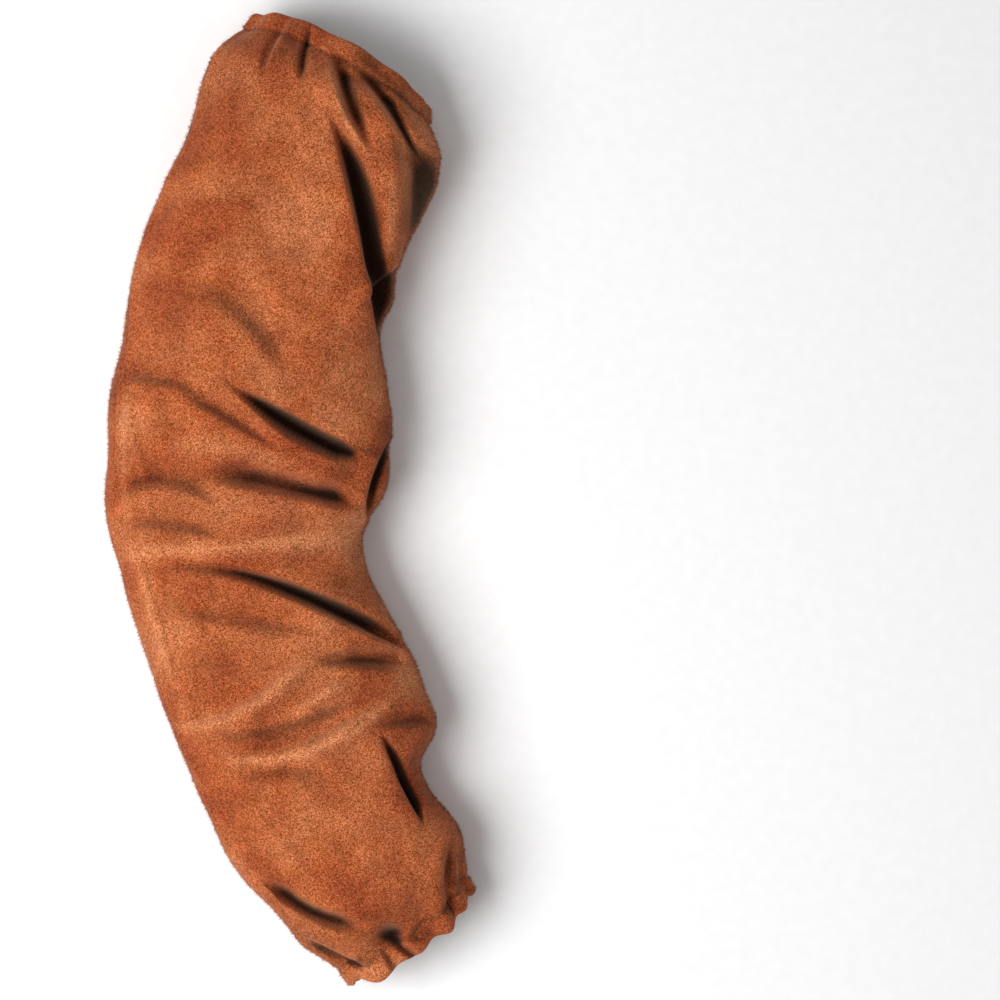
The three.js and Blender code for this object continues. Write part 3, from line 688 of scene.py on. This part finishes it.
def painted_light(s, angle, lift):
    """Painted light on the nap: painted shade in the creases and along the stitches, and the painted
    shade and painted highlights of the spots and streaks, fainter down the sides.
    """
    x, y = layout(s, angle)
    shallow, deep = PAINTED_CREASE_RANGE
    facing = smooth(np.sin(angle) / SIDE_START)
    # painted shade in the creases, by their depth
    painted_crease_shade = smooth((-lift[0] / FOLD_DEPTH - shallow) / (deep - shallow))
    dark = painted_crease_shade * (SIDE_SHADE + (1 - SIDE_SHADE) * facing)
    top = smooth(1 + 2 * np.minimum(np.sin(angle), 0))
    spots = sum(soft_spot(row, x, y) for row in PAINTED_LIGHT_SPOTS)
    lines = sum(painted_light_streak(row, x, y) for row in PAINTED_LIGHT_STREAKS)
    # painted shade in the groove along the stitches
    inside = np.minimum(s, 1 - s) * SLEEVE_LENGTH
    stitched = STITCH_SHADE * np.exp(-((inside - STITCH_LINE) / STITCH_GROOVE_WIDTH) ** 2)
    return np.clip(dark + facing * (spots + lines) + top * stitched, *PAINTED_LIGHT_RANGE)


# Keeps the painted shade and painted highlights on the mesh as a point attribute.
def set_painted_light(piece, values):
    layer = piece.data.attributes.new("painted_light", "FLOAT", "POINT")
    layer.data.foreach_set("value", values.ravel())


def make_panel(material):
    """The hide: its outer face, the turned wrist end, its inner face and the turned upper end."""
    turned = casing_rows()
    hem = HEM / SLEEVE_LENGTH
    rim = RIM / 2 / SLEEVE_LENGTH
    outer = [(s, 0) for s in np.linspace(rim, 1 - rim, OUTER_ROWS)]
    inner = [(s, LEATHER) for s in np.linspace(1 - hem, hem, INNER_ROWS)[1:-1]]
    wrist = [(1 - inside / SLEEVE_LENGTH, depth) for inside, depth in turned]
    upper = [(inside / SLEEVE_LENGTH, depth) for inside, depth in reversed(turned)]
    shares = [np.array([row[0] for row in rows]) for rows in (outer, wrist, inner, upper)]
    angles = column_angles()
    outer_lift, wrist_lift, upper_lift = (relief(shares[i][:, None], angles) for i in (0, 1, 3))
    inside_lift = inner_lift(shares[2], shares[0], outer_lift)
    lifts = zip(outer_lift, wrist_lift, inside_lift, upper_lift)
    lift = [np.concatenate(parts) for parts in lifts]
    piece = sweep("leather_panel", outer + wrist + inner + upper, material, lift)
    set_painted_light(piece, painted_light(np.concatenate(shares)[:, None], angles, lift))
    return piece


def make_elastic(name, to_share, material):
    """A flat band in a casing; to_share turns a distance from the edge into a share."""
    near = LEATHER + CASING_SLACK + CLEARANCE
    across = np.linspace(near, near + ELASTIC_WIDTH, ELASTIC_ROWS)
    outer = LEATHER + CLEARANCE
    inner = outer + ELASTIC_THICKNESS
    face = [(to_share(inside), outer) for inside in across]
    back = [(to_share(inside), inner) for inside in across[::-1]]
    return sweep(name, face + back, material)


def thread_rings(points, outward, radii):
    """Vertices of a thread: a ring round every point."""
    way = np.gradient(points, axis=0)
    way /= np.linalg.norm(way, axis=1)[:, None]
    side = np.cross(way, outward)
    side /= np.linalg.norm(side, axis=1)[:, None]
    up = np.cross(side, way)
    turns = np.linspace(0, 2 * math.pi, THREAD_SIDES, endpoint=False)
    return [point + radius * (math.cos(turn) * a + math.sin(turn) * b)
            for point, a, b, radius in zip(points, side, up, radii) for turn in turns]


def thread_faces(count, first):
    """Triangles of a thread of some rings whose vertices start at a number."""
    faces = []
    for ring in range(count - 1):
        for i in range(THREAD_SIDES):
            j = (i + 1) % THREAD_SIDES
            a, b = first + ring * THREAD_SIDES, first + (ring + 1) * THREAD_SIDES
            faces += [(a + i, a + j, b + j), (a + i, b + j, b + i)]
    last = first + (count - 1) * THREAD_SIDES
    for i in range(1, THREAD_SIDES - 1):
        faces += [(first, first + i + 1, first + i), (last, last + i, last + i + 1)]
    return faces


def make_stitches(material):
    """Short threads along the inner edge of both hems, sinking in at their ends."""
    angles = np.linspace(0, 2 * math.pi, STITCH_LINE_STEPS)[None, :]
    sink = np.array(STITCH_SINK) * THREAD_RADIUS
    thickness = np.array(STITCH_THICKNESS) * THREAD_RADIUS
    vertices, faces = [], []
    for share in (STITCH_LINE / SLEEVE_LENGTH, 1 - STITCH_LINE / SLEEVE_LENGTH):
        s = np.array([[share]])
        lift = relief(s, angles)
        line = skin(s, angles, 0, lift)[0]
        outward = skin(s, angles, -MM, lift)[0] - line
        outward /= np.linalg.norm(outward, axis=1)[:, None]
        steps = np.linalg.norm(np.diff(line, axis=0), axis=1)
        run = np.concatenate([[0], np.cumsum(steps)])
        count = round(run[-1] / (STITCH_LENGTH + STITCH_GAP))
        for start in np.arange(count) * run[-1] / count:
            at = start + np.linspace(0, STITCH_LENGTH, len(sink))
            points = np.stack([np.interp(at, run, line[:, axis]) for axis in range(3)], axis=1)
            out = np.stack([np.interp(at, run, outward[:, axis]) for axis in range(3)], axis=1)
            faces += thread_faces(len(sink), len(vertices))
            vertices += thread_rings(points - out * sink[:, None], out, thickness)
    return mesh_piece("hem_stitches", vertices, faces, material)


def make_nap(material):
    """Closed three-sided fibres, closer together along the two sides of the tube."""
    rng = np.random.default_rng(NAP_SEED)
    s = rng.uniform(*FIBRE_ENDS, FIBRES)
    angle = rng.uniform(-FIBRE_REACH, math.pi + FIBRE_REACH, FIBRES)
    side = rng.random(FIBRES) < SIDE_FIBRES
    angle[side] = np.where(rng.random(side.sum()) < 0.5, 0, math.pi)
    angle[side] += rng.normal(0, SIDE_SPREAD, side.sum())
    lift = relief(s, angle)
    root = skin(s, angle, FIBRE_ROOT, lift)
    outward = skin(s, angle, -MM, lift) - root
    outward /= np.linalg.norm(outward, axis=1)[:, None]
    way = outward + rng.normal(0, FIBRE_TANGLE, (FIBRES, 3))
    way /= np.linalg.norm(way, axis=1)[:, None]
    length = rng.uniform(*FIBRE_LENGTHS, FIBRES)[:, None]
    across = np.cross(way, rng.normal(0, 1, (FIBRES, 3)))
    across /= np.linalg.norm(across, axis=1)[:, None]
    beside = np.cross(way, across)
    corners = [root + FIBRE_RADIUS * (math.cos(turn) * across + math.sin(turn) * beside)
               for turn in (0, 2 * math.pi / 3, 4 * math.pi / 3)]
    vertices = np.stack(corners + [root + way * length], axis=1).reshape(-1, 3)
    vertices[:, 2] = np.maximum(vertices[:, 2], 0)
    first = np.arange(FIBRES)[:, None, None] * 4
    faces = first + np.array([(0, 1, 3), (1, 2, 3), (2, 0, 3), (0, 2, 1)])[None, :, :]
    piece = mesh_piece("nap", vertices, faces.reshape(-1, 3), material)
    # the fibres carry the same painted shade and painted highlights as the hide
    set_painted_light(piece, np.repeat(painted_light(s, angle, lift), 4))
    return piece


def centre_on(pieces, leader):
    """Moves the meshes so that the leader's box is centred over the origin."""
    corners = np.array([v.co for v in leader.data.vertices])
    middle = (corners.max(axis=0) + corners.min(axis=0)) / 2
    for piece in pieces:
        piece.data.transform(Matrix.Translation((-middle[0], -middle[1], 0)))


def new_material(name, roughness):
    material = bpy.data.materials.new(name)
    material.use_nodes = True
    tree = material.node_tree
    shader = tree.nodes["Principled BSDF"]
    shader.inputs["Roughness"].default_value = roughness
    place = tree.nodes.new("ShaderNodeTexCoord").outputs["Object"]
    return material, tree, shader, place


def add_noise(tree, place, scale, detail, distortion=0.0):
    noise = tree.nodes.new("ShaderNodeTexNoise")
    noise.inputs["Scale"].default_value = scale
    noise.inputs["Detail"].default_value = detail
    noise.inputs["Distortion"].default_value = distortion
    tree.links.new(place, noise.inputs["Vector"])
    return noise.outputs["Fac"]


def add_specks(tree, place, scale):
    """An even random value for each small cell."""
    cells = tree.nodes.new("ShaderNodeTexVoronoi")
    cells.inputs["Scale"].default_value = scale
    tree.links.new(place, cells.inputs["Vector"])
    parts = tree.nodes.new("ShaderNodeSeparateColor")
    tree.links.new(cells.outputs["Color"], parts.inputs["Color"])
    return parts.outputs["Red"]


def add_ramp(tree, factor, stops):
    ramp = tree.nodes.new("ShaderNodeValToRGB")
    elements = ramp.color_ramp.elements
    while len(elements) < len(stops):
        elements.new(0.5)
    for element, (at, colour) in zip(elements, stops):
        element.position = at
        element.color = (*colour, 1)
    tree.links.new(factor, ramp.inputs["Fac"])
    return ramp.outputs["Color"]


def add_range(tree, value, low, high, to_low, to_high):
    span = tree.nodes.new("ShaderNodeMapRange")
    settings = (("From Min", low), ("From Max", high), ("To Min", to_low), ("To Max", to_high))
    for name, setting in settings:
        span.inputs[name].default_value = setting
    tree.links.new(value, span.inputs["Value"])
    return span.outputs["Result"]


def add_brightness(tree, colour, factor, saturation=None):
    change = tree.nodes.new("ShaderNodeHueSaturation")
    tree.links.new(factor, change.inputs["Value"])
    if saturation is not None:
        tree.links.new(saturation, change.inputs["Saturation"])
    tree.links.new(colour, change.inputs["Color"])
    return change.outputs["Color"]


def add_bump(tree, height, distance, strength, below=None):
    bump = tree.nodes.new("ShaderNodeBump")
    bump.inputs["Distance"].default_value = distance
    bump.inputs["Strength"].default_value = strength
    tree.links.new(height, bump.inputs["Height"])
    if below is not None:
        tree.links.new(below, bump.inputs["Normal"])
    return bump.outputs["Normal"]


def add_mix(tree, factor, colour, other):
    mix = tree.nodes.new("ShaderNodeMixRGB")
    mix.inputs["Color2"].default_value = (*other, 1)
    tree.links.new(factor, mix.inputs["Fac"])
    tree.links.new(colour, mix.inputs["Color1"])
    return mix.outputs["Color"]


def suede_material():
    """Rust-brown split suede: cloudy patches, a fine two-tone grain, and painted shade and painted
    highlights read from a mesh attribute.
    """
    material, tree, shader, place = new_material("suede", 0.95)
    clouds = add_noise(tree, place, CLOUD_SCALE, 4, 0.5)
    colour = add_ramp(tree, clouds, (
        (0.30, SUEDE_DARK), (0.43, SUEDE_RED), (0.53, SUEDE_MIDDLE), (0.72, SUEDE_LIGHT)))
    # A mesh attribute carries painted light: below zero it mixes in the pale tan of painted
    # highlights, above zero it darkens the colour towards painted shade.
    attribute = tree.nodes.new("ShaderNodeAttribute")
    attribute.attribute_name = "painted_light"
    painted_light_value = attribute.outputs["Fac"]
    painted_highlight = add_range(tree, painted_light_value, -1, 0, PAINTED_HIGHLIGHT_MIX, 0)
    colour = add_mix(tree, painted_highlight, colour, PAINTED_HIGHLIGHT_TAN)
    blotches = add_noise(tree, place, BLOTCH_SCALE, 3)
    patchy = add_range(tree, blotches, 0.3, 0.7, *BLOTCH_BRIGHTNESS)
    colour = add_brightness(tree, colour, patchy)
    specks = add_specks(tree, place, SPECK_SCALE)
    speckled = add_range(tree, specks, 0, 1, *SPECK_BRIGHTNESS)
    fuller = add_range(tree, specks, 0, 1, *SPECK_SATURATION)
    colour = add_brightness(tree, colour, speckled, fuller)
    painted_shade = add_range(tree, painted_light_value, 0, 1, 1, PAINTED_SHADE_BRIGHTNESS)
    colour = add_brightness(tree, colour, painted_shade)
    tree.links.new(colour, shader.inputs["Base Color"])
    shader.inputs["Sheen Weight"].default_value = 0.25
    shader.inputs["Sheen Roughness"].default_value = 0.5
    shader.inputs["Sheen Tint"].default_value = (*SHEEN_TINT, 1)
    shader.inputs["Specular IOR Level"].default_value = 0.15
    lumps = add_noise(tree, place, LUMP_SCALE, 3)
    grain = add_noise(tree, place, GRAIN_SCALE, 2)
    coarse = add_bump(tree, lumps, LUMP_BUMP, 0.35)
    fine = add_bump(tree, grain, GRAIN_BUMP, 0.8, coarse)
    tree.links.new(fine, shader.inputs["Normal"])
    return material


def thread_material():
    """Dark waxed thread with a little wear."""
    material, tree, shader, place = new_material("thread", 0.6)
    wear = add_noise(tree, place, THREAD_WEAR_SCALE, 2)
    worn = tuple(2.2 * part for part in THREAD_COLOUR)
    colour = add_ramp(tree, wear, ((0.4, THREAD_COLOUR), (0.7, worn)))
    tree.links.new(colour, shader.inputs["Base Color"])
    tree.links.new(add_bump(tree, wear, THREAD_BUMP, 0.5), shader.inputs["Normal"])
    return material


def elastic_material():
    """Pale woven elastic with fine ribs round the band."""
    material, tree, shader, place = new_material("elastic", 0.8)
    ribs = tree.nodes.new("ShaderNodeTexWave")
    ribs.bands_direction = "Y"
    ribs.inputs["Scale"].default_value = RIB_SCALE
    ribs.inputs["Distortion"].default_value = 0.6
    tree.links.new(place, ribs.inputs["Vector"])
    dark = tuple(0.7 * part for part in ELASTIC_COLOUR)
    weave = ribs.outputs["Fac"]
    colour = add_ramp(tree, weave, ((0.1, dark), (0.7, ELASTIC_COLOUR)))
    spread = add_noise(tree, place, DUST_SCALE, 3)
    dust = add_range(tree, spread, 0.3, 0.7, *DUST_BRIGHTNESS)
    tree.links.new(add_brightness(tree, colour, dust), shader.inputs["Base Color"])
    tree.links.new(add_bump(tree, weave, RIB_BUMP, 0.6), shader.inputs["Normal"])
    return material


def floor_material():
    """Plain pale board with a barely visible grain."""
    material, tree, shader, place = new_material("floor", 0.9)
    grey = tuple(0.97 * part for part in FLOOR_COLOUR)
    grain = add_noise(tree, place, FLOOR_GRAIN_SCALE, 3)
    colour = add_ramp(tree, grain, ((0.3, grey), (0.7, FLOOR_COLOUR)))
    tree.links.new(colour, shader.inputs["Base Color"])
    return material


def make_floor():
    corners = [(x * FLOOR_REACH, y * FLOOR_REACH, 0)
               for x, y in ((-1, -1), (1, -1), (1, 1), (-1, 1))]
    mesh_piece("floor", corners, [(0, 1, 2, 3)], floor_material())


def add_light(name, place, size, power):
    data = bpy.data.lights.new(name, "AREA")
    data.size = size
    data.energy = power
    light = bpy.data.objects.new(name, data)
    light.location = place
    light.rotation_euler = (-Vector(place)).to_track_quat("-Z", "Y").to_euler()
    bpy.context.collection.objects.link(light)


def make_lights():
    for light in LIGHTS:
        add_light(*light)
    world = bpy.data.worlds.new("studio")
    world.use_nodes = True
    background = world.node_tree.nodes["Background"]
    background.inputs["Color"].default_value = (1, 1, 1, 1)
    background.inputs["Strength"].default_value = WORLD_LIGHT
    bpy.context.scene.world = world
    bpy.context.scene.view_settings.view_transform = "Standard"


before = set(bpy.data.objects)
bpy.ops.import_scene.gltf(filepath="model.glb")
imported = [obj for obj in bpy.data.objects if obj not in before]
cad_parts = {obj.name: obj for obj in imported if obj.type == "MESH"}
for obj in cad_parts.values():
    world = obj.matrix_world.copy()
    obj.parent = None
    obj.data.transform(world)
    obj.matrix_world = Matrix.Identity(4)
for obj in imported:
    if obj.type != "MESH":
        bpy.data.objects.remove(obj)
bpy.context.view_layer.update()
make_camera()
suede = suede_material()
webbing = elastic_material()
panel = make_panel(suede)
upper_elastic = make_elastic("upper_elastic_band", lambda inside: inside / SLEEVE_LENGTH, webbing)
wrist_elastic = make_elastic("wrist_elastic_band", lambda inside: 1 - inside / SLEEVE_LENGTH, webbing)
stitches = make_stitches(thread_material())
nap = make_nap(suede)
pieces = [(panel, "suede"), (upper_elastic, "elastic"), (wrist_elastic, "elastic"),
          (stitches, "thread"), (nap, "suede")]
centre_on([piece for piece, _ in pieces], panel)
for piece, slot in pieces:
    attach(piece, "root")
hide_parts("sleeve_panel")
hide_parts("upper_elastic")
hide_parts("wrist_elastic")
make_floor()
make_lights()
